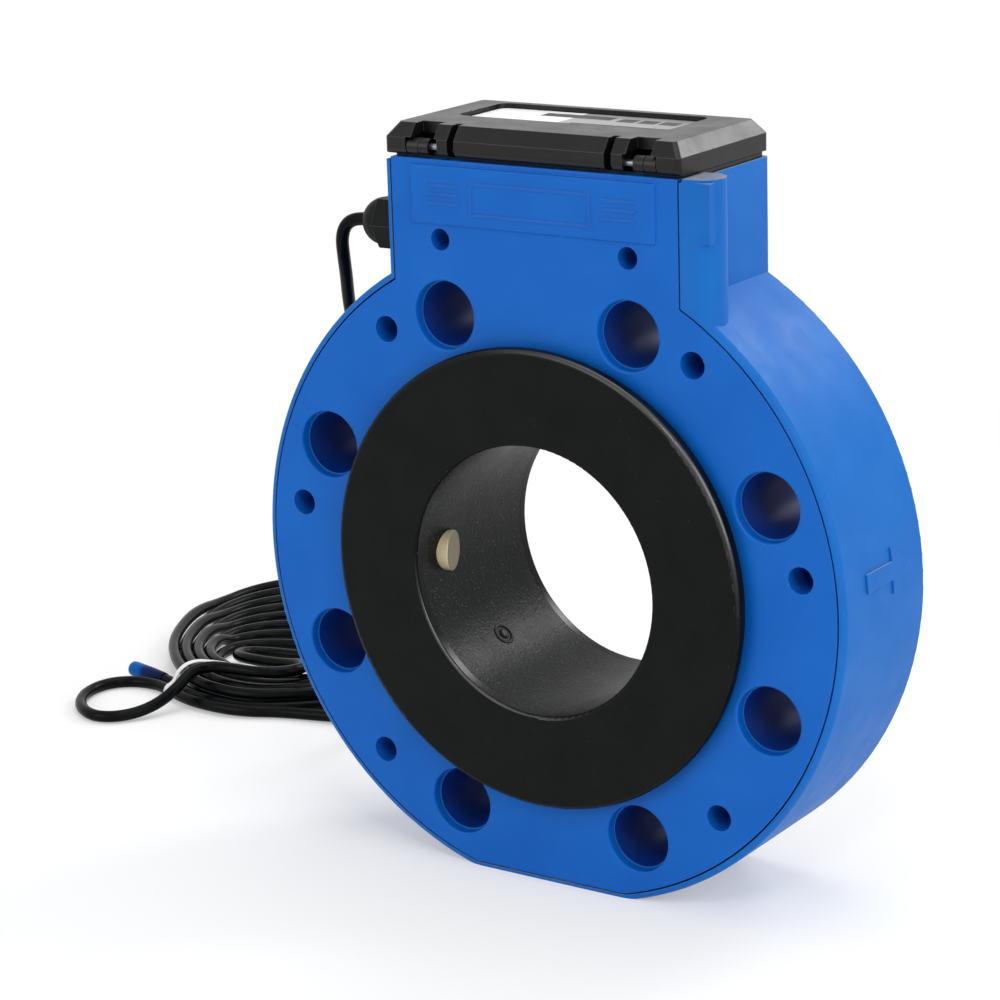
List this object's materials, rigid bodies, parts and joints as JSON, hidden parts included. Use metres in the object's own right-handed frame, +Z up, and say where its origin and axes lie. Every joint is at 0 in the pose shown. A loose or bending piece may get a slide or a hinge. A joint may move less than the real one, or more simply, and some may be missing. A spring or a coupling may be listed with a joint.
{
  "type": "wafer ultrasonic flow meter",
  "caption": "Wafer ultrasonic flow meter: ring body held between pipe flanges, lined bore with sensors, register neck with hinged lid, and a coiled signal cable.",
  "frame": {"origin": "centre of the bore, midway along the body's depth", "axes": "+Y along the bore in the direction of flow, from the front cover to the rear; +Z up through the register neck; +X to the right when looking along the flow"},
  "size_m": [0.352, 0.2352, 0.2217],
  "materials": {
    "blue_moulding": "satin moulded polyester, fine grain",
    "black_rubber": "matt moulded rubber",
    "liner_plastic": "fibre-filled moulding, grainy satin",
    "sensor_plastic": "moulded, satin",
    "lid_plastic": "fine-grained moulding, semi-gloss",
    "label_film": "printed film, satin",
    "pin_steel": "ground",
    "screw_steel": "zinc plated",
    "clear_window": "clear moulding, polished",
    "lcd_glass": "grey-green display glass",
    "board_laminate": "solder-masked laminate",
    "cell_sleeve": "shrink sleeve",
    "nut_brass": "turned",
    "gland_nylon": "moulded nylon, satin",
    "cable_sheath": "extruded vinyl, semi-gloss",
    "wire_sleeve": "extruded, satin",
    "cap_vinyl": "dipped vinyl, slightly translucent",
    "tie_vinyl": "extruded, satin"
  },
  "bodies": {
    "meter": {"rear_housing": "blue_moulding", "front_cover": "blue_moulding", "cover_seal": "black_rubber", "cover_screws": "screw_steel", "flow_tube": "liner_plastic", "front_gasket": "black_rubber", "rear_gasket": "black_rubber", "upstream_transducer": "sensor_plastic", "downstream_transducer": "sensor_plastic", "transducer_seals": "black_rubber", "transducer_nuts": "nut_brass", "transducer_leads": "wire_sleeve", "hinge_pins": "pin_steel", "register_frame": "lid_plastic", "register_seal": "black_rubber", "display_window": "clear_window", "lcd_display": "lcd_glass", "circuit_board": "board_laminate", "board_screws": "screw_steel", "battery": "cell_sleeve", "battery_clip": "lid_plastic", "gland_body": "gland_nylon", "gland_nut": "gland_nylon", "gland_seal": "black_rubber", "gland_locknut": "gland_nylon", "inner_lead": "cable_sheath", "signal_cable": "cable_sheath", "cable_coil": "cable_sheath", "cable_loop": "cable_sheath", "cable_tail": "cable_sheath", "cable_tie": "tie_vinyl", "cable_end_cap": "cap_vinyl"},
    "lid": {"lid": "lid_plastic", "lid_label": "label_film"}
  },
  "joints": [
    {"name": "lid_hinge", "type": "hinge", "parent": "meter", "child": "lid", "pos_m": [0, -0.02225, 0.1219], "axis": [1, 0, 0], "range_deg": [0, 100]}
  ]
}
